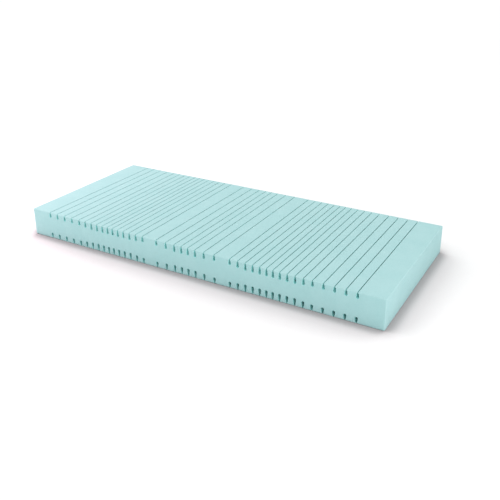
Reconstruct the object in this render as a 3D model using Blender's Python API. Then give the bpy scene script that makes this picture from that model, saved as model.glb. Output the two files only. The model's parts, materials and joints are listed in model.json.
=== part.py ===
"""Slotted foam mattress core for pressure relief, made as a chain of foam segments.

The core is cut across its width, from both faces, by forty pairs of drop-shaped slots.
The foam left between the two slots of a pair is a living hinge. Each segment between two
pairs is one solid, and the chain bends about the line midway between the slots of a pair.

Frame: +X from the head end to the foot end, +Y across the width, +Z up. The origin is the
centre of the underside. Sizes are in metres.
"""

import math

import bpy

# Overall size of the core
LENGTH = 2.000
WIDTH = 0.850
HEIGHT = 0.150

# Slot spacing from the middle of the core outwards. Both halves are the same.
MIDDLE_PITCH = 0.038
PELVIS_PITCHES = (0.041, 0.050, 0.057)
BRIDGE = 0.085
SHOULDER_PITCH_COUNT = 11
SHOULDER_EDGE_PITCH = 0.0424
SHOULDER_PITCH_STEP = 0.002
HEAD_PITCH_COUNT = 4
HEAD_PITCH = 0.0515

# The drop shape of one slot
MOUTH_WIDTH = 0.0042
BULB_RADIUS = 0.0062
SHALLOW_DEPTH = 0.031
MIDDLE_DEPTH = 0.035
DEEP_DEPTH = 0.039
BULB_STEPS = 7

# The living hinge between the two slots of a pair
BEND_PER_SLOT = math.radians(3.0)
HINGE_GAP = 0.0003

# Segment names from the head end to the foot end, with how many of each there are
SEGMENT_NAMES = (
    ("head_end_block", 1),
    ("head_rib", 4),
    ("shoulder_rib", 11),
    ("lumbar_bridge", 1),
    ("pelvis_rib", 7),
    ("thigh_bridge", 1),
    ("calf_rib", 11),
    ("foot_rib", 4),
    ("foot_end_block", 1),
)
COLLECTION_NAME = "pressure_relief_mattress_core"
FOAM_COLOUR = (0.42, 0.72, 0.71, 1.0)
FOAM_ROUGHNESS = 0.95


def clear_scene():
    """Removes every object of the scene."""
    for obj in list(bpy.data.objects):
        bpy.data.objects.remove(obj)


def foam_material():
    """The pale turquoise foam, matte all over."""
    material = bpy.data.materials.new("turquoise_foam")
    material.use_nodes = True
    shader = material.node_tree.nodes["Principled BSDF"]
    shader.inputs["Base Color"].default_value = FOAM_COLOUR
    shader.inputs["Roughness"].default_value = FOAM_ROUGHNESS
    shader.inputs["Metallic"].default_value = 0.0
    return material


def shoulder_pitches():
    """Pitches of the shoulder zone: they shrink by a fixed step to its middle and grow again."""
    middle = (SHOULDER_PITCH_COUNT - 1) // 2
    steps = [middle - abs(i - middle) for i in range(SHOULDER_PITCH_COUNT)]
    return [SHOULDER_EDGE_PITCH - SHOULDER_PITCH_STEP * step for step in steps]


def zone_depths(count):
    """Depths of a zone's slots: shallow at both ends, deep between."""
    inner = [DEEP_DEPTH] * (count - 4)
    return [SHALLOW_DEPTH, MIDDLE_DEPTH, *inner, MIDDLE_DEPTH, SHALLOW_DEPTH]


def slots():
    """(x, depth) of each slot pair, from the head end to the foot end."""
    pitches = [*PELVIS_PITCHES, BRIDGE, *shoulder_pitches(), *[HEAD_PITCH] * HEAD_PITCH_COUNT]
    places = [MIDDLE_PITCH / 2]
    for pitch in pitches:
        places.append(places[-1] + pitch)
    pelvis_half = len(PELVIS_PITCHES) + 1
    depths = [
        *zone_depths(2 * pelvis_half)[pelvis_half:],
        *zone_depths(SHOULDER_PITCH_COUNT + 1),
        *[SHALLOW_DEPTH] * HEAD_PITCH_COUNT,
    ]
    foot_half = list(zip(places, depths))
    head_half = [(-x, depth) for x, depth in reversed(foot_half)]
    return head_half + foot_half


def half_slot(depth):
    """One wall of a slot from the upper face to the hinge line, as (half width, height above it).

    The wall runs straight from the mouth to the round bulb, follows the bulb down, and then
    narrows with the slit that lets two segments tilt against each other.
    """
    top = HEIGHT / 2
    bulb_height = top - depth + BULB_RADIUS
    reach = math.hypot(MOUTH_WIDTH / 2, top - bulb_height)
    lean = math.atan2(MOUTH_WIDTH / 2, top - bulb_height)
    tangent = math.pi / 2 - lean - math.acos(BULB_RADIUS / reach)
    slit_slope = math.tan(BEND_PER_SLOT / 2)
    slit_at_bulb = HINGE_GAP / 2 + (bulb_height - BULB_RADIUS) * slit_slope
    bottom = -math.acos(slit_at_bulb / BULB_RADIUS)
    wall = [(MOUTH_WIDTH / 2, top)]
    for i in range(BULB_STEPS + 1):
        angle = tangent + (bottom - tangent) * i / BULB_STEPS
        wall.append(
            (BULB_RADIUS * math.cos(angle), bulb_height + BULB_RADIUS * math.sin(angle))
        )
    wall.append((HINGE_GAP / 2, 0.0))
    return wall


def slot_wall(slot, side):
    """A segment's wall at a slot pair, from the upper face to the lower, as (x, height).

    side is +1 where the segment lies on the slot's foot side and -1 on its head side.
    """
    x, depth = slot
    upper = [(x + side * half, height) for half, height in half_slot(depth)]
    lower = [(px, -height) for px, height in reversed(upper[:-1])]
    return upper + lower


def end_wall(x):
    """The flat end of the core, from the upper face to the lower."""
    return [(x, HEIGHT / 2), (x, -HEIGHT / 2)]


def segment(name, head_wall, foot_wall, pivot_x, material, collection):
    """One foam segment: its side outline pushed out across the whole width.

    The object's origin is on its hinge line, halfway up the core.
    """
    outline = foot_wall + head_wall[::-1]
    curve = bpy.data.curves.new(name, "CURVE")
    curve.dimensions = "2D"
    curve.fill_mode = "BOTH"
    curve.extrude = WIDTH / 2
    spline = curve.splines.new("POLY")
    spline.points.add(len(outline) - 1)
    for point, (x, height) in zip(spline.points, outline):
        point.co = (x - pivot_x, height, 0.0, 1.0)
    spline.use_cyclic_u = True
    curve.materials.append(material)
    obj = bpy.data.objects.new(name, curve)
    obj.location = (pivot_x, 0.0, HEIGHT / 2)
    obj.rotation_euler = (math.pi / 2, 0.0, 0.0)
    collection.objects.link(obj)
    return obj


def segment_names():
    """Every segment's name, numbered where a name is used more than once."""
    names = []
    for name, count in SEGMENT_NAMES:
        if count == 1:
            names.append(name)
        else:
            names.extend(f"{name}_{i:02d}" for i in range(1, count + 1))
    return names


def hang_on(child, parent):
    """Parents a segment to its neighbour and keeps it where it is."""
    bpy.context.view_layer.update()
    world = child.matrix_world.copy()
    child.parent = parent
    child.matrix_parent_inverse = parent.matrix_world.inverted()
    child.matrix_world = world


def build_core():
    """Builds the chain of segments. The middle one is fixed, and the others hang on it."""
    material = foam_material()
    collection = bpy.data.collections.new(COLLECTION_NAME)
    bpy.context.scene.collection.children.link(collection)
    pairs = slots()
    names = segment_names()
    middle = len(names) // 2
    segments = []
    for i, name in enumerate(names):
        head_wall = slot_wall(pairs[i - 1], 1) if i > 0 else end_wall(-LENGTH / 2)
        foot_wall = slot_wall(pairs[i], -1) if i < len(pairs) else end_wall(LENGTH / 2)
        if i < middle:
            pivot_x = pairs[i][0]
        elif i > middle:
            pivot_x = pairs[i - 1][0]
        else:
            pivot_x = 0.0
        segments.append(segment(name, head_wall, foot_wall, pivot_x, material, collection))
    for i in range(middle - 1, -1, -1):
        hang_on(segments[i], segments[i + 1])
    for i in range(middle + 1, len(segments)):
        hang_on(segments[i], segments[i - 1])


clear_scene()
build_core()
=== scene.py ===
"""Looks of a slotted foam mattress core for pressure relief.

The core is one block of turquoise foam, cut from both faces by pairs of drop-shaped slots.
It bends at the web of foam left between the two slots of a pair. Here the block is built as
a row of sections, one for each pair of slots. A section reaches from the middle of one foam
rib to the middle of the next, so its web bends in one piece, and sections only meet where the
foam stays straight.
"""

import json
import logging
import math
from dataclasses import dataclass
from enum import Enum
from typing import Any, Iterable, Sequence

import bmesh
import bpy
from mathutils import Matrix, Vector, noise
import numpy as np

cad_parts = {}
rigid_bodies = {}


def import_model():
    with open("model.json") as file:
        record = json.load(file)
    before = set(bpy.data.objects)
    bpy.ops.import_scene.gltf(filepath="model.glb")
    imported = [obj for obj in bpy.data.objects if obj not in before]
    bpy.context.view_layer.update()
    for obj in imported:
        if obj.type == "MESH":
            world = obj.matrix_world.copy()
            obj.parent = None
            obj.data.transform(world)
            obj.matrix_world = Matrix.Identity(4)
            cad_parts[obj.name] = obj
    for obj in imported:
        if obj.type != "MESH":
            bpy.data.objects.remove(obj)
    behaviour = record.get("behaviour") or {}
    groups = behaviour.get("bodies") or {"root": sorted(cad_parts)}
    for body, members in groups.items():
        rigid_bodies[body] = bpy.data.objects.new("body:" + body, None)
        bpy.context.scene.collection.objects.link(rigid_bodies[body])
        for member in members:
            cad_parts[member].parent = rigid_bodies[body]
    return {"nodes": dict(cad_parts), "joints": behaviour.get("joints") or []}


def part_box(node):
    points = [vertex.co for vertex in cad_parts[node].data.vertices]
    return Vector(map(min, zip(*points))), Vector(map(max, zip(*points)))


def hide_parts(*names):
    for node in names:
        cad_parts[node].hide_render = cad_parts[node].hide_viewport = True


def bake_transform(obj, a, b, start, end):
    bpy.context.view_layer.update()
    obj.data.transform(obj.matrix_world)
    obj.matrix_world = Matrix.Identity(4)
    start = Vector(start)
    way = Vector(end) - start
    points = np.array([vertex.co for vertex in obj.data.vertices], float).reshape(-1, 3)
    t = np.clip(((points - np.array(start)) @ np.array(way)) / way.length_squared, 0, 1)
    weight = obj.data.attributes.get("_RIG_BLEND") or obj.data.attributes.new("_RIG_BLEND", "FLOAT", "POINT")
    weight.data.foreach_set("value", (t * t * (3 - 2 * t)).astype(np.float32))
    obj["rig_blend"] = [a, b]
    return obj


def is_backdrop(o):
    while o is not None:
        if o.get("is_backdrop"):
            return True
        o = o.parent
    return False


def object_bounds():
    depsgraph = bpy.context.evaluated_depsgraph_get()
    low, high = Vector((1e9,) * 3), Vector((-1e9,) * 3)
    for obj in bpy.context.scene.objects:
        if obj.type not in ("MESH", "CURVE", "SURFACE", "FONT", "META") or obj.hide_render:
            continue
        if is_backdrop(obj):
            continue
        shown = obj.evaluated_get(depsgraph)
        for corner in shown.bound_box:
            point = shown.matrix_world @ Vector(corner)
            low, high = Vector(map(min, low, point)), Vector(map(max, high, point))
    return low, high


LOG = logging.getLogger("foam_core")
# Mesh marks for painted light and shade: the painted glow and shade in the slots, and the painted highlight
# on the rounded edges.
SLOT_PAINTED_LIGHT = "slot_depth"
EDGE_HIGHLIGHT = "edge_wear"
SAME_PLACE = 1e-6

Colour = tuple[float, float, float, float]
Range = tuple[float, float]
Triple = tuple[float, float, float]
EVEN: Triple = (1.0, 1.0, 1.0)


class CellMeasure(Enum):
    """What is measured in cells packed at random."""

    FROM_MIDDLE = "F1"
    FROM_WALL = "DISTANCE_TO_EDGE"


class Signal:
    """A number that runs through a material, with Python's own arithmetic.

    Each operator adds one Math node to the graph that the number belongs to.
    """

    def __init__(self, graph: "Graph", socket: bpy.types.NodeSocket) -> None:
        """Takes the graph and the output socket that carries the number."""
        self.graph = graph
        self.socket = socket

    def _math(self, operation: str, first: Any, second: Any) -> "Signal":
        """Adds a Math node.

        Args:
            operation: The node's operation, such as ADD.
            first: A Signal or a number for the first socket.
            second: A Signal or a number for the second socket.

        Returns:
            The node's result.
        """
        node = self.graph.add("ShaderNodeMath", {"operation": operation}, {0: first, 1: second})
        return Signal(self.graph, node.outputs[0])

    def __add__(self, other: Any) -> "Signal":
        """self + other."""
        return self._math("ADD", self, other)

    def __radd__(self, other: Any) -> "Signal":
        """other + self."""
        return self._math("ADD", other, self)

    def __sub__(self, other: Any) -> "Signal":
        """self - other."""
        return self._math("SUBTRACT", self, other)

    def __rsub__(self, other: Any) -> "Signal":
        """other - self."""
        return self._math("SUBTRACT", other, self)

    def __mul__(self, other: Any) -> "Signal":
        """self * other."""
        return self._math("MULTIPLY", self, other)

    def __rmul__(self, other: Any) -> "Signal":
        """other * self."""
        return self._math("MULTIPLY", other, self)

    def over(self, low: float, high: float) -> "Signal":
        """Stretches the stretch from low to high over 0 to 1, and stops at both ends.

        Args:
            low: The number that becomes 0.
            high: The number that becomes 1. It may be below low.

        Returns:
            The stretched number.
        """
        node = self.graph.add(
            "ShaderNodeMapRange",
            {"clamp": True, "interpolation_type": "SMOOTHSTEP"},
            {"Value": self, "From Min": low, "From Max": high},
        )
        return Signal(self.graph, node.outputs["Result"])


class Graph:
    """The node graph of one new material."""

    OPENNESS_SAMPLES = 16

    def __init__(self, name: str) -> None:
        """Makes an empty material of that name, with its output and its main shader."""
        self.material = bpy.data.materials.new(name)
        self.material.use_nodes = True
        self.nodes = self.material.node_tree.nodes
        self.links = self.material.node_tree.links
        self.nodes.clear()
        self.shader = self.add("ShaderNodeBsdfPrincipled")
        self.add("ShaderNodeOutputMaterial", sockets={"Surface": self.shader.outputs["BSDF"]})

    def add(
        self,
        kind: str,
        settings: dict[str, Any] | None = None,
        sockets: dict[Any, Any] | None = None,
    ) -> bpy.types.Node:
        """Adds a node.

        Args:
            kind: The node's type.
            settings: Its properties, set before its sockets.
            sockets: A value or a link for each named or numbered input.

        Returns:
            The new node.
        """
        node = self.nodes.new(kind)
        for name, value in (settings or {}).items():
            setattr(node, name, value)
        self.feed(node, sockets or {})
        return node

    def feed(self, node: bpy.types.Node, sockets: dict[Any, Any]) -> None:
        """Sets or links a node's inputs.

        Args:
            node: The node.
            sockets: A Signal, an output socket or a plain value for each input.
        """
        for name, value in sockets.items():
            source = value.socket if isinstance(value, Signal) else value
            if isinstance(source, bpy.types.NodeSocket):
                self.links.new(source, node.inputs[name])
            else:
                node.inputs[name].default_value = source

    def place(self, stretch: Triple = EVEN) -> bpy.types.NodeSocket:
        """The place on the core in metres, stretched along each axis."""
        where = self.add("ShaderNodeTexCoord").outputs["Object"]
        return self.add(
            "ShaderNodeMapping", {"vector_type": "POINT"}, {"Vector": where, "Scale": stretch}
        ).outputs["Vector"]

    def noise(self, cell: float, detail: float, stretch: Triple = EVEN) -> Signal:
        """Soft random variation.

        Args:
            cell: The size of its patches, in metres.
            detail: How many finer layers it has.
            stretch: A factor on each axis. Below 1 draws the patches out.

        Returns:
            A number from 0 to 1, mostly near a half.
        """
        node = self.add(
            "ShaderNodeTexNoise",
            sockets={"Vector": self.place(stretch), "Scale": 1.0 / cell, "Detail": detail},
        )
        return Signal(self, node.outputs["Fac"])

    def cells(self, cell: float, measure: CellMeasure) -> Signal:
        """Cells packed at random.

        Args:
            cell: Their size, in metres.
            measure: What to measure.

        Returns:
            The distance, in cells.
        """
        node = self.add(
            "ShaderNodeTexVoronoi",
            {"feature": measure.value},
            {"Vector": self.place(), "Scale": 1.0 / cell},
        )
        return Signal(self, node.outputs["Distance"])

    def openness(self, reach: float) -> Signal:
        """How much of what lies above a point is free, from 0 to 1.

        Args:
            reach: How far it looks, in metres.

        Returns:
            The share that nothing stands in.
        """
        settings = {"samples": self.OPENNESS_SAMPLES}
        node = self.add("ShaderNodeAmbientOcclusion", settings, {"Distance": reach})
        return Signal(self, node.outputs["AO"])

    def painted(self, attribute: str) -> Signal:
        """A number that the mesh itself holds under that name."""
        node = self.add("ShaderNodeAttribute", {"attribute_name": attribute})
        return Signal(self, node.outputs["Fac"])

    def blend(self, share: Any, first: Any, second: Any) -> bpy.types.NodeSocket:
        """Puts two colours together. Inputs 6 and 7 and output 2 are the Mix node's colours.

        Args:
            share: How much of the second there is, from 0 to 1.
            first: The first colour, or a socket that carries it.
            second: The second colour, or a socket that carries it.

        Returns:
            The socket of the colour that comes out.
        """
        node = self.add(
            "ShaderNodeMix",
            {"data_type": "RGBA"},
            {"Factor": share, 6: first, 7: second},
        )
        return node.outputs[2]

    def bump(self, height: Signal, depth: float) -> bpy.types.NodeSocket:
        """Relief.

        Args:
            height: The height, from 0 to 1.
            depth: How far 0 lies below 1, in metres.

        Returns:
            The socket of the bent normal.
        """
        return self.add(
            "ShaderNodeBump", sockets={"Strength": 1.0, "Distance": depth, "Height": height}
        ).outputs["Normal"]


@dataclass(frozen=True)
class FoamFinish:
    """Cut open-cell foam: pale turquoise, matt and slightly fuzzy."""

    colour: Colour = (0.340, 0.634, 0.640, 1.0)
    pale: Colour = (0.408, 0.684, 0.690, 1.0)
    pore: Colour = (0.205, 0.430, 0.425, 1.0)
    # Painted light: a brighter, more saturated colour on the slot walls just below the mouth, for light that
    # shines through the thin foam.
    slot_wall: Colour = (0.380, 0.800, 0.785, 1.0)
    # Painted shade: a darker colour towards the floor of each slot, where little light reaches.
    slot_floor: Colour = (0.240, 0.590, 0.575, 1.0)
    # A paler colour for the foam's cell walls, and a painted highlight on the rounded edges.
    worn_edge: Colour = (0.495, 0.750, 0.754, 1.0)
    cell: float = 0.0015
    cell_rim: Range = (0.02, 0.34)
    grain: float = 0.0045
    mottle: float = 0.014
    cloud: float = 0.090
    patch_edge: Range = (0.35, 0.65)
    pore_spacing: float = 0.009
    pore_rim: Range = (0.10, 0.055)
    saw_pitch: float = 0.0035
    saw_stretch: Triple = (1.0, 0.04, 1.0)
    cloud_tint: float = 0.40
    mottle_tint: float = 0.15
    grain_tint: float = 0.20
    wall_tint: float = 0.45
    # How far the painted highlight pales the rounded edges.
    edge_tint: float = 0.60
    pore_tint: float = 0.60
    hollow_tint: float = 0.16
    # Where along the slot mark the painted glow and the painted shade come in.
    slot_wall_range: Range = (0.0, 0.03)
    slot_floor_range: Range = (0.15, 0.80)
    cell_depth: float = 0.00045
    cell_relief: float = 0.5
    grain_relief: float = 0.3
    pore_relief: float = 0.9
    saw_depth: float = 0.00016
    roughness: Range = (0.82, 0.96)
    sheen: float = 0.12
    sheen_roughness: float = 0.55
    specular: float = 0.35

    def tint(self, graph: Graph, hollow: Signal, grain: Signal, pore: Signal) -> bpy.types.NodeSocket:
        """Works out the foam's colour, with painted light and shade in the slots and a painted highlight on
        the rounded edges.

        Args:
            graph: The material's graph.
            hollow: 1 in the hollow of a foam cell, and 0 on its wall.
            grain: The foam's fine grain.
            pore: 1 in a large pore, and 0 elsewhere.

        Returns:
            The socket of the colour.
        """
        mottle = graph.noise(self.mottle, detail=2.0).over(*self.patch_edge)
        cloud = graph.noise(self.cloud, detail=3.0).over(*self.patch_edge)
        depth = graph.painted(SLOT_PAINTED_LIGHT)
        highlight_share = graph.painted(EDGE_HIGHLIGHT)
        pale = cloud * self.cloud_tint + mottle * self.mottle_tint + grain * self.grain_tint
        tint = graph.blend(pale, self.colour, self.pale)
        tint = graph.blend((1.0 - hollow) * self.wall_tint, tint, self.worn_edge)
        # Painted highlight: the rounded edges are paled.
        tint = graph.blend(highlight_share * self.edge_tint, tint, self.worn_edge)
        # Painted glow on the slot walls, then painted shade towards the slot floor.
        tint = graph.blend(depth.over(*self.slot_wall_range), tint, self.slot_wall)
        tint = graph.blend(depth.over(*self.slot_floor_range), tint, self.slot_floor)
        return graph.blend(pore * self.pore_tint + hollow * self.hollow_tint, tint, self.pore)

    def material(self) -> bpy.types.Material:
        """Builds the material.

        Returns:
            The material, with its cells, pores, saw marks and clouds of colour.
        """
        graph = Graph("cut_turquoise_foam")
        hollow = graph.cells(self.cell, CellMeasure.FROM_WALL).over(*self.cell_rim)
        grain = graph.noise(self.grain, detail=2.0)
        saw = graph.noise(self.saw_pitch, detail=1.0, stretch=self.saw_stretch)
        pore = graph.cells(self.pore_spacing, CellMeasure.FROM_MIDDLE).over(*self.pore_rim)
        low, high = self.roughness
        raised = (1.0 - hollow) * self.cell_relief + grain * self.grain_relief
        marked = raised + saw * (self.saw_depth / self.cell_depth) - pore * self.pore_relief
        graph.feed(
            graph.shader,
            {
                "Base Color": self.tint(graph, hollow, grain, pore),
                "Roughness": low + (high - low) * grain,
                "Normal": graph.bump(marked, self.cell_depth),
                "Sheen Weight": self.sheen,
                "Sheen Roughness": self.sheen_roughness,
                "Specular IOR Level": self.specular,
            },
        )
        return graph.material


@dataclass(frozen=True)
class FloorFinish:
    """A plain white studio floor with a painted shadow: its colour darkens softly where something stands
    close over it.
    """

    white: Colour = (0.980, 0.980, 0.980, 1.0)
    # Painted shadow colours, slightly pink: a faint wide one and a dark close one.
    wide_shade: Colour = (0.820, 0.770, 0.776, 1.0)
    wide_reach: float = 0.8
    wide_openness: Range = (0.70, 0.97)
    close_shade: Colour = (0.490, 0.455, 0.460, 1.0)
    close_reach: float = 0.07
    close_openness: Range = (0.60, 1.0)
    roughness: float = 0.9

    def material(self) -> bpy.types.Material:
        """Builds the material."""
        graph = Graph("white_floor")
        # Painted shadow: the colour darkens where something close by hides the sky.
        wide = graph.openness(self.wide_reach).over(*self.wide_openness)
        close = graph.openness(self.close_reach).over(*self.close_openness)
        tint = graph.blend(wide, self.wide_shade, self.white)
        tint = graph.blend(close, self.close_shade, tint)
        graph.feed(
            graph.shader,
            {"Base Color": tint, "Roughness": self.roughness, "Specular IOR Level": 0.0},
        )
        return graph.material


@dataclass
class SlotPair:
    """A slot in the upper face and its twin in the lower face, with the web between them."""

    x: float
    depth: float
    head_body: str
    foot_body: str

    @classmethod
    def from_joint(cls, joint: dict[str, Any], core: "FoamCore") -> "SlotPair":
        """Reads a pair from the joint that its web makes.

        Args:
            joint: The frame's joint.
            core: The core, for its middle height and its top.

        Returns:
            The pair. Its depth is read off the foam beside it.
        """
        x = joint["pos_m"][0]
        head_body, foot_body = sorted(
            (joint["parent"], joint["child"]), key=lambda name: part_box(name)[0].x
        )
        lowest = core.middle + core.wall_reach
        wall = [
            vertex.co.z
            for vertex in core.nodes[foot_body].data.vertices
            if abs(vertex.co.x - x) < core.wall_reach and vertex.co.z > lowest
        ]
        return cls(x, core.top - min(wall), head_body, foot_body)


@dataclass
class DropSlot:
    """The drop shape of every slot: a narrow mouth that widens to a round bulb."""

    mouth: float = 0.0033
    bulb_radius: float = 0.0064
    belly: float = 0.0011
    belly_place: float = 0.38
    lip_radius: float = 0.0009
    rim_radius: float = 0.0015
    # The share of the painted slot shade that the upper slots get, since light falls into them.
    upper_shade: float = 0.30
    bulb_steps: int = 20
    lip_steps: int = 3
    slack: float = 1.02

    @property
    def reach(self) -> float:
        """How far from its middle a bulb's outline may lie, with some slack."""
        return self.bulb_radius * self.slack

    def bulb_height(self, depth: float, top: float) -> float:
        """How high the middle of the bulb lies."""
        return top - depth + self.bulb_radius

    def tangent(self, fall: float) -> float:
        """The angle on the bulb, from straight across, at which the straight wall meets it.

        Args:
            fall: How far the bulb's middle lies below the mouth.

        Returns:
            The angle in radians.
        """
        reach = math.hypot(self.mouth / 2, fall)
        lean = math.atan2(self.mouth / 2, fall)
        return math.pi / 2 - lean - math.acos(self.bulb_radius / reach)

    def rim_growth(self, depth_behind_face: float) -> float:
        """How much wider the slot is near the side of the core, where its rim is rounded.

        Args:
            depth_behind_face: The distance in from the side face.

        Returns:
            The growth of each wall, in metres.
        """
        left = max(0.0, self.rim_radius - depth_behind_face)
        return self.rim_radius - math.sqrt(self.rim_radius**2 - left**2)


@dataclass(frozen=True)
class Station:
    """A place across the width at which the side outline is set down."""

    y: float
    fall: float
    growth: float


@dataclass
class CoreSection:
    """The foam round one pair of slots, from the middle of one rib to the middle of the next."""

    number: int
    pair: SlotPair
    slot: DropSlot
    head_x: float
    foot_x: float
    low: Vector
    high: Vector
    edge_radius: float = 0.0055
    edge_slack: float = 1.01
    edge_steps: int = 6
    spans: int = 26
    bend_reach: float = 0.0019
    sway: float = 0.0005
    sway_length: float = 0.17
    sway_margin: float = 0.008

    @property
    def name(self) -> str:
        """The section's name."""
        return f"foam_section_{self.number:02d}"

    @property
    def middle(self) -> float:
        """The height of the web's middle."""
        return (self.low.z + self.high.z) / 2

    @property
    def half_height(self) -> float:
        """How high the upper face lies over the web's middle."""
        return self.high.z - self.middle

    @property
    def rounding_reach(self) -> float:
        """How far in from a face its rounded edge may lie, with some slack."""
        return self.edge_radius * self.edge_slack

    def is_outer(self, x: float) -> bool:
        """Whether x is an end of the whole core, and not the middle of a rib."""
        return min(abs(x - self.low.x), abs(x - self.high.x)) < self.edge_radius / 2

    def half_outline(self, bm: bmesh.types.BMesh) -> None:
        """Draws the upper half of the side outline, from the head end to the foot end.

        Args:
            bm: The empty mesh that it is drawn in.
        """
        half = self.slot.mouth / 2
        centre = Vector((self.pair.x, 0.0, self.slot.bulb_height(self.pair.depth, self.high.z)))
        angle = self.slot.tangent(self.high.z - centre.z)
        arm = Vector((-math.cos(angle), 0.0, math.sin(angle)))
        lip = Vector((self.pair.x - half, 0.0, self.high.z))
        wall_end = centre + arm * self.slot.bulb_radius
        belly = lip.lerp(wall_end, self.slot.belly_place) + arm * self.slot.belly
        start = Vector((self.head_x, 0.0, self.high.z))
        head = [bm.verts.new(place) for place in (start, lip, belly, wall_end)]
        for first, second in zip(head, head[1:]):
            bm.edges.new((first, second))
        bmesh.ops.spin(
            bm,
            geom=[head[-1]],
            cent=centre,
            axis=(0.0, -1.0, 0.0),
            angle=math.pi + 2 * angle,
            steps=self.slot.bulb_steps,
            use_merge=False,
        )
        last = max((v for v in bm.verts if len(v.link_edges) == 1), key=lambda v: v.co.x)
        foot = [
            last,
            bm.verts.new((2 * self.pair.x - belly.x, 0.0, belly.z)),
            bm.verts.new((self.pair.x + half, 0.0, self.high.z)),
            bm.verts.new((self.foot_x, 0.0, self.high.z)),
        ]
        for first, second in zip(foot, foot[1:]):
            bm.edges.new((first, second))

    def side_face(self, bm: bmesh.types.BMesh) -> bmesh.types.BMFace:
        """Makes the whole side outline, with round lips, as one face.

        Args:
            bm: The empty mesh that it is made in.

        Returns:
            The face, in the plane of y = 0.
        """
        self.half_outline(bm)
        bmesh.ops.mirror(
            bm,
            geom=[*bm.verts, *bm.edges],
            matrix=Matrix.Translation((0.0, 0.0, -self.middle)),
            merge_dist=-1.0,
            axis="Z",
        )
        for x in (self.head_x, self.foot_x):
            bm.edges.new([v for v in bm.verts if abs(v.co.x - x) < SAME_PLACE])
        bmesh.ops.contextual_create(bm, geom=list(bm.edges))
        half = self.slot.mouth / 2
        lips = [
            v
            for v in bm.verts
            if abs(abs(v.co.x - self.pair.x) - half) < SAME_PLACE
            and abs(abs(v.co.z - self.middle) - self.half_height) < SAME_PLACE
        ]
        self.round_corners(bm, lips, self.slot.lip_radius, self.slot.lip_steps)
        ends = [v for v in bm.verts if self.is_outer(v.co.x)]
        if ends:
            self.round_corners(bm, ends, self.edge_radius, self.edge_steps)
        return next(iter(bm.faces))

    @staticmethod
    def round_corners(
        bm: bmesh.types.BMesh, corners: Iterable[bmesh.types.BMVert], radius: float, steps: int
    ) -> None:
        """Rounds corners of a flat outline."""
        bmesh.ops.bevel(
            bm,
            geom=list(corners),
            offset=radius,
            offset_type="OFFSET",
            segments=steps,
            profile=0.5,
            affect="VERTICES",
            material=-1,
            clamp_overlap=True,
        )

    def stations(self) -> list[Station]:
        """Places the side outline across the width.

        Returns:
            The stations. Over the rounded long edges the outline falls in and its slots widen.
        """
        near = []
        for i in range(self.edge_steps + 1):
            angle = math.pi / 2 * i / self.edge_steps
            behind = self.edge_radius * (1 - math.cos(angle))
            fall = self.edge_radius * (1 - math.sin(angle))
            near.append(Station(self.low.y + behind, fall, self.slot.rim_growth(behind)))
        far = [Station(-station.y, station.fall, station.growth) for station in reversed(near)]
        start, end = near[-1].y, far[0].y
        step = (end - start) / self.spans
        inner = [Station(start + step * i, 0.0, 0.0) for i in range(1, self.spans)]
        return near + inner + far

    def set_down(
        self,
        vertices: Iterable[bmesh.types.BMVert],
        layers: tuple[Any, Any],
        station: Station,
    ) -> None:
        """Moves a copy of the outline to its station, and draws its edges in there.

        Args:
            vertices: The copy's vertices.
            layers: The layers that hold each vertex's place on the plain outline.
            station: The station.
        """
        bulb = self.slot.bulb_height(self.pair.depth, self.high.z)
        for vertex in vertices:
            x, z = vertex[layers[0]], vertex[layers[1]]
            up = math.copysign(1.0, z - self.middle)
            centre_z = self.middle + up * (bulb - self.middle)
            out = Vector((x - self.pair.x, 0.0, z - centre_z))
            place = Vector((x, station.y, z))
            if out.length < self.slot.reach:
                place += out.normalized() * station.growth
            elif abs(out.x) < self.slot.bulb_radius:
                place.x += math.copysign(station.growth, out.x)
            if abs(z - self.middle) > self.half_height - self.rounding_reach:
                place.z -= up * station.fall
            if self.is_end_rounding(x):
                place.x -= math.copysign(station.fall, x)
            vertex.co = place

    def is_end_rounding(self, x: float) -> bool:
        """Whether x is on the end of the whole core or on the rounding beside it."""
        return min(x - self.low.x, self.high.x - x) < self.rounding_reach

    def sweep(self, bm: bmesh.types.BMesh, face: bmesh.types.BMFace) -> None:
        """Draws the side outline across the width of the core.

        Args:
            bm: The mesh.
            face: The side outline, as one face.
        """
        layers = (bm.verts.layers.float.new("outline_x"), bm.verts.layers.float.new("outline_z"))
        for vertex in bm.verts:
            vertex[layers[0]], vertex[layers[1]] = vertex.co.x, vertex.co.z
        first, *rest = self.stations()
        self.set_down(bm.verts, layers, first)
        near_side = face
        for station in rest:
            grown = bmesh.ops.extrude_face_region(bm, geom=[face])["geom"]
            if face is not near_side:
                bmesh.ops.delete(bm, geom=[face], context="FACES_ONLY")
            face = next(item for item in grown if isinstance(item, bmesh.types.BMFace))
            self.set_down(face.verts, layers, station)

    def paint_slots(self, bm: bmesh.types.BMesh) -> None:
        """Marks on the slot walls how deep they are, and so how little light they get, for the painted glow
        and shade in the slots.

        The mark is 0 at the mouth. At the bulb's floor it is 1 in a lower slot, and less in an
        upper one, which light falls into.
        """
        across = bm.verts.layers.float["outline_x"]
        along = bm.verts.layers.float["outline_z"]
        painted = bm.loops.layers.float.new(SLOT_PAINTED_LIGHT)
        for face in bm.faces:
            in_slot = all(abs(v[across] - self.pair.x) < self.slot.reach for v in face.verts)
            for loop in face.loops:
                height = loop.vert[along] - self.middle
                shade = self.slot.upper_shade if height > 0.0 else 1.0
                depth = (self.half_height - abs(height)) / self.pair.depth
                loop[painted] = shade * depth if in_slot else 0.0

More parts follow.
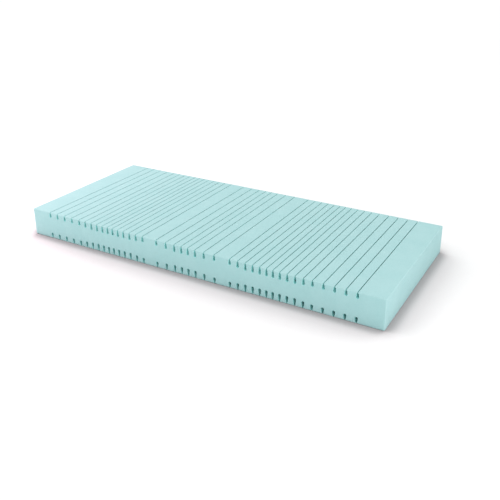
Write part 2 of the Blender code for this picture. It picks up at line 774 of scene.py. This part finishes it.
    def paint_edges(self, bm: bmesh.types.BMesh) -> None:
        """Marks the rounded long edges and end edges, which get a painted highlight in the foam's colour."""
        painted = bm.loops.layers.float.new(EDGE_HIGHLIGHT)
        for face in bm.faces:
            for loop in face.loops:
                place = loop.vert.co
                gaps = [min(place[i] - self.low[i], self.high[i] - place[i]) for i in range(3)]
                second = max(0.0, sorted(gaps)[1])
                loop[painted] = max(0.0, 1.0 - second / self.edge_radius)

    def let_sway(self, bm: bmesh.types.BMesh) -> None:
        """Takes the machine straightness out of the faces, less and less towards the floor."""
        for vertex in bm.verts:
            share = (vertex.co.z - self.low.z) / (self.high.z - self.low.z)
            push = noise.noise_vector(vertex.co / self.sway_length) * self.sway * share
            edge = min(vertex.co.x - self.low.x, self.high.x - vertex.co.x)
            push.x *= 1.0 if edge < self.sway_margin else 0.0
            vertex.co += push

    def shade(self, bm: bmesh.types.BMesh) -> None:
        """Shades the foam smooth, and keeps the caps between sections apart from it."""
        for face in bm.faces:
            face.smooth = True
        for edge in bm.edges:
            joined = [v.co.x for v in edge.verts]
            gaps = [min(abs(x - self.head_x), abs(x - self.foot_x)) for x in joined]
            on_cap = max(gaps) < SAME_PLACE
            edge.smooth = self.is_outer(joined[0]) or not on_cap

    def build(self) -> bpy.types.Object:
        """Builds the section's mesh and object.

        Returns:
            The object, at the origin.
        """
        bm = bmesh.new()
        face = self.side_face(bm)
        self.sweep(bm, face)
        self.paint_slots(bm)
        self.paint_edges(bm)
        self.let_sway(bm)
        bmesh.ops.recalc_face_normals(bm, faces=bm.faces)
        self.shade(bm)
        mesh = bpy.data.meshes.new(self.name)
        bm.to_mesh(mesh)
        bm.free()
        obj = bpy.data.objects.new(self.name, mesh)
        bpy.context.scene.collection.objects.link(obj)
        weighted = obj.modifiers.new("flat_faces_stay_flat", "WEIGHTED_NORMAL")
        weighted.keep_sharp = True
        return obj

    def finish(self, obj: bpy.types.Object, foam: bpy.types.Material, nodes: Sequence[str]) -> None:
        """Dresses the section and hangs it on the two bodies beside its web.

        Args:
            obj: The section's object.
            foam: Its material.
            nodes: The frame's nodes that it stands for.
        """
        obj.data.materials.append(foam)
        start = (self.pair.x - self.bend_reach, 0.0, self.middle)
        end = (self.pair.x + self.bend_reach, 0.0, self.middle)
        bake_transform(obj, self.pair.head_body, self.pair.foot_body, start=start, end=end)
        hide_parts(*nodes)


@dataclass
class FoamCore:
    """The whole foam core, from the frame's ribs and webs."""

    nodes: dict[str, bpy.types.Object]
    joints: list[dict[str, Any]]
    low: Vector
    high: Vector
    wall_reach: float = 0.004
    sway_seed: int = 11

    @property
    def top(self) -> float:
        """The height of the upper face."""
        return self.high.z

    @property
    def middle(self) -> float:
        """The height halfway up."""
        return (self.low.z + self.high.z) / 2

    def seams(self, pairs: Sequence[SlotPair]) -> list[float]:
        """Where the sections begin and end.

        Args:
            pairs: The slot pairs in order.

        Returns:
            Both ends of the core, and between them the middle of each rib.
        """
        inner = [(a.x + b.x) / 2 for a, b in zip(pairs, pairs[1:])]
        return [self.low.x, *inner, self.high.x]

    def build(self, foam: bpy.types.Material) -> None:
        """Builds every section.

        Args:
            foam: The material of them all.
        """
        noise.seed_set(self.sway_seed)
        pairs = sorted((SlotPair.from_joint(j, self) for j in self.joints), key=lambda p: p.x)
        seams = self.seams(pairs)
        slot = DropSlot()
        for i, pair in enumerate(pairs):
            section = CoreSection(i + 1, pair, slot, seams[i], seams[i + 1], self.low, self.high)
            obj = section.build()
            is_last = i == len(pairs) - 1
            nodes = [pair.head_body, pair.foot_body] if is_last else [pair.head_body]
            section.finish(obj, foam, nodes)
            faces = len(obj.data.polygons)
            LOG.info("%s: slot depth %.4f m, %d faces", obj.name, pair.depth, faces)


@dataclass(frozen=True)
class Softbox:
    """One large soft lamp, aimed at a point."""

    name: str
    place: Triple
    aim: Triple
    width: float
    height: float
    power: float
    colour: Triple

    def build(self) -> None:
        """Hangs the lamp."""
        lamp = bpy.data.lights.new(self.name, "AREA")
        lamp.shape = "RECTANGLE"
        lamp.size = self.width
        lamp.size_y = self.height
        lamp.energy = self.power
        lamp.color = self.colour
        obj = bpy.data.objects.new(self.name, lamp)
        obj.location = self.place
        ray = Vector(self.aim) - Vector(self.place)
        obj.rotation_euler = ray.to_track_quat("-Z", "Y").to_euler()
        obj.visible_camera = False
        bpy.context.scene.collection.objects.link(obj)


@dataclass
class Studio:
    """A white tent of soft light, a pale floor and the camera."""

    tent_white: Colour = (1.0, 1.0, 1.0, 1.0)
    tent_strength: float = 1.05
    floor_size: float = 80.0
    camera_place: Triple = (1.7027, -2.7414, 1.5204)
    camera_turn: float = math.radians(30.053)
    camera_tilt: float = math.radians(21.599)
    camera_roll: float = math.radians(-0.325)
    camera_fall: float = 0.10
    lens: float = 48.02
    sensor: float = 36.0
    lamps: tuple[Softbox, ...] = (
        Softbox(
            name="left_softbox",
            place=(-2.3, -0.4, 0.9),
            aim=(-0.7, -0.2, 0.1),
            width=1.0,
            height=0.7,
            power=19.0,
            colour=(1.0, 0.68, 0.79),
        ),
        Softbox(
            name="right_softbox",
            place=(1.8, -0.45, 0.4),
            aim=(1.0, -0.35, 0.05),
            width=0.3,
            height=0.3,
            power=1.1,
            colour=(1.0, 0.84, 0.88),
        ),
    )

    def floor(self) -> None:
        """Lays the floor."""
        bm = bmesh.new()
        bmesh.ops.create_grid(bm, x_segments=1, y_segments=1, size=self.floor_size / 2)
        mesh = bpy.data.meshes.new("studio_floor")
        bm.to_mesh(mesh)
        bm.free()
        mesh.materials.append(FloorFinish().material())
        obj = bpy.data.objects.new("studio_floor", mesh)
        bpy.context.scene.collection.objects.link(obj)
        obj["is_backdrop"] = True

    def light(self) -> None:
        """Lights the tent."""
        world = bpy.data.worlds.new("white_tent")
        world.use_nodes = True
        background = world.node_tree.nodes["Background"]
        background.inputs["Color"].default_value = self.tent_white
        background.inputs["Strength"].default_value = self.tent_strength
        bpy.context.scene.world = world
        for lamp in self.lamps:
            lamp.build()

    def camera(self) -> None:
        """Sets up the camera."""
        data = bpy.data.cameras.new("camera")
        data.lens = self.lens
        data.sensor_width = self.sensor
        data.shift_y = -self.camera_fall
        obj = bpy.data.objects.new("camera", data)
        obj.matrix_world = (
            Matrix.Translation(self.camera_place)
            @ Matrix.Rotation(self.camera_turn, 4, "Z")
            @ Matrix.Rotation(math.pi / 2 - self.camera_tilt, 4, "X")
            @ Matrix.Rotation(self.camera_roll, 4, "Z")
        )
        bpy.context.scene.collection.objects.link(obj)
        bpy.context.scene.camera = obj

    def build(self) -> None:
        """Builds the studio."""
        bpy.context.scene.view_settings.view_transform = "Standard"
        self.camera()
        self.floor()
        self.light()
        LOG.info("studio: %d lamps", len(self.lamps))


def corners(box: tuple[Vector, Vector]) -> list[list[float]]:
    """A box's two corners as plain lists."""
    return [list(corner) for corner in box]


def main() -> None:
    """Loads the frame, and builds the studio and the foam core round it."""
    logging.basicConfig(level=logging.INFO, format="%(name)s: %(message)s")
    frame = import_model()
    cad_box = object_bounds()
    Studio().build()
    core = FoamCore(frame["nodes"], frame["joints"], *cad_box)
    core.build(FoamFinish().material())


if __name__ == "__main__":
    main()
